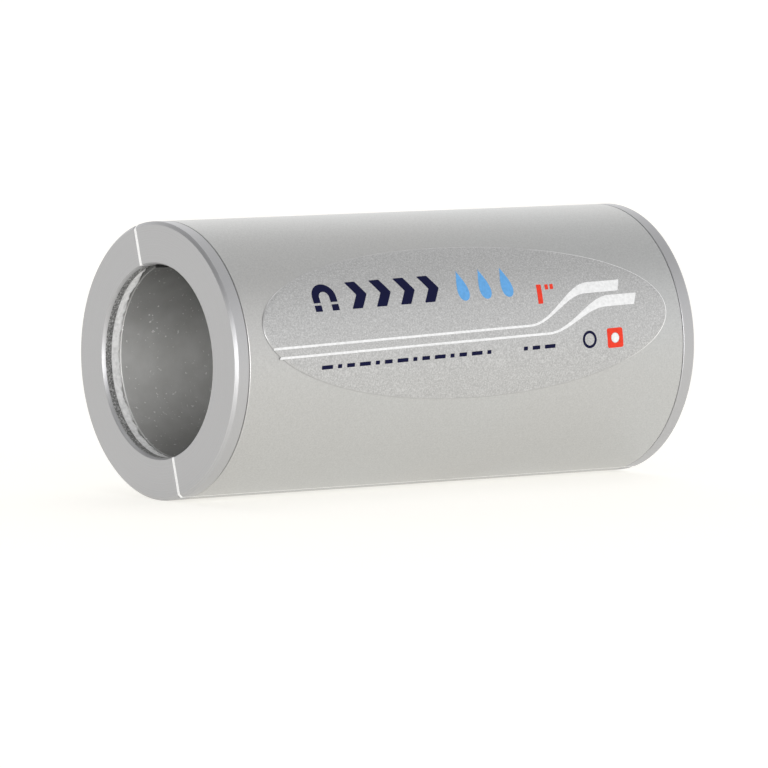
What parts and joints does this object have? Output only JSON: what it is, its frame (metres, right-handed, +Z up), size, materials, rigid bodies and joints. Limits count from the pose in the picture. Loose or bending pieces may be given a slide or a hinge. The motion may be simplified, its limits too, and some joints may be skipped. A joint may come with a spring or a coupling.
{
  "type": "magnetic system filter",
  "caption": "Split cylindrical magnetic sleeve that clamps round a heating pipe: two shells with magnets inside, end rings, sealed parting faces and sunk socket head screws.",
  "frame": {"origin": "on the bore's axis, half way along the sleeve", "axes": "+X along the bore, +Z up, -Y towards the side that carries the label"},
  "size_m": [0.1034, 0.0502, 0.05],
  "materials": {
    "shell": "fine bead blasted and clear anodised, satin",
    "end_ring": "fine blasted and anodised, matt, bevelled rim",
    "seal": "white closed-cell silicone strip",
    "sealant": "light grey sealant, ragged edge",
    "liner": "dark grey resin with pale specks, matt",
    "yoke": "rolled mild steel, zinc plated",
    "magnet": "nickel plated neodymium magnet",
    "carrier": "black moulded nylon",
    "screw": "stainless steel",
    "dowel": "ground steel",
    "insert": "machined brass",
    "label_film": "clear film with fine silver grain",
    "print_navy": "dark blue ink on the label film",
    "print_blue": "light blue ink on the label film",
    "print_red": "red ink on the label film",
    "print_white": "white ink on the label film"
  },
  "bodies": {
    "rear_half": {"rear_shell": "shell", "rear_liner": "liner", "rear_yoke": "yoke", "rear_magnet_carrier": "carrier", "rear_magnet_1": "magnet", "rear_magnet_2": "magnet", "rear_magnet_3": "magnet", "rear_magnet_4": "magnet", "rear_left_ring": "end_ring", "rear_left_bead": "sealant", "rear_right_ring": "end_ring", "rear_right_bead": "sealant", "upper_seal": "seal", "lower_seal": "seal"},
    "front_half": {"front_shell": "shell", "front_liner": "liner", "front_yoke": "yoke", "front_magnet_carrier": "carrier", "front_magnet_1": "magnet", "front_magnet_2": "magnet", "front_magnet_3": "magnet", "front_magnet_4": "magnet", "front_left_ring": "end_ring", "front_left_bead": "sealant", "front_right_ring": "end_ring", "front_right_bead": "sealant", "label_film": "label_film", "upper_dowel": "dowel", "lower_dowel": "dowel", "left_upper_insert": "insert", "right_upper_insert": "insert", "left_lower_insert": "insert", "right_lower_insert": "insert"},
    "left_upper_washer_body": {"left_upper_washer": "screw"},
    "left_upper_screw_body": {"left_upper_screw": "screw"},
    "right_upper_washer_body": {"right_upper_washer": "screw"},
    "right_upper_screw_body": {"right_upper_screw": "screw"},
    "left_lower_washer_body": {"left_lower_washer": "screw"},
    "left_lower_screw_body": {"left_lower_screw": "screw"},
    "right_lower_washer_body": {"right_lower_washer": "screw"},
    "right_lower_screw_body": {"right_lower_screw": "screw"}
  },
  "joints": [
    {"name": "front_half_lift_off", "type": "slide", "parent": "rear_half", "child": "front_half", "axis": [0, -0.9593, 0.2823], "range_m": [0, 0.05]},
    {"name": "left_upper_screw_travel", "type": "slide", "parent": "rear_half", "child": "left_upper_washer_body", "axis": [0, 0.9593, -0.2823], "range_m": [0, 0.0072]},
    {"name": "left_upper_screw_turn", "type": "hinge", "parent": "left_upper_washer_body", "child": "left_upper_screw_body", "pos_m": [-0.038, 0.01043, 0.01913], "axis": [0, 0.9593, -0.2823], "range_deg": [0, 5765]},
    {"name": "right_upper_screw_travel", "type": "slide", "parent": "rear_half", "child": "right_upper_washer_body", "axis": [0, 0.9593, -0.2823], "range_m": [0, 0.0072]},
    {"name": "right_upper_screw_turn", "type": "hinge", "parent": "right_upper_washer_body", "child": "right_upper_screw_body", "pos_m": [0.038, 0.01043, 0.01913], "axis": [0, 0.9593, -0.2823], "range_deg": [0, 5765]},
    {"name": "left_lower_screw_travel", "type": "slide", "parent": "rear_half", "child": "left_lower_washer_body", "axis": [0, 0.9593, -0.2823], "range_m": [0, 0.0072]},
    {"name": "left_lower_screw_turn", "type": "hinge", "parent": "left_lower_washer_body", "child": "left_lower_screw_body", "pos_m": [-0.038, -0.0016, -0.02173], "axis": [0, 0.9593, -0.2823], "range_deg": [0, 5765]},
    {"name": "right_lower_screw_travel", "type": "slide", "parent": "rear_half", "child": "right_lower_washer_body", "axis": [0, 0.9593, -0.2823], "range_m": [0, 0.0072]},
    {"name": "right_lower_screw_turn", "type": "hinge", "parent": "right_lower_washer_body", "child": "right_lower_screw_body", "pos_m": [0.038, -0.0016, -0.02173], "axis": [0, 0.9593, -0.2823], "range_deg": [0, 5765]}
  ],
  "couplings": [
    {"joint": "left_upper_screw_turn", "follows": "left_upper_screw_travel", "rad_per_m": 13963},
    {"joint": "right_upper_screw_turn", "follows": "right_upper_screw_travel", "rad_per_m": 13963},
    {"joint": "left_lower_screw_turn", "follows": "left_lower_screw_travel", "rad_per_m": 13963},
    {"joint": "right_lower_screw_turn", "follows": "right_lower_screw_travel", "rad_per_m": 13963}
  ]
}
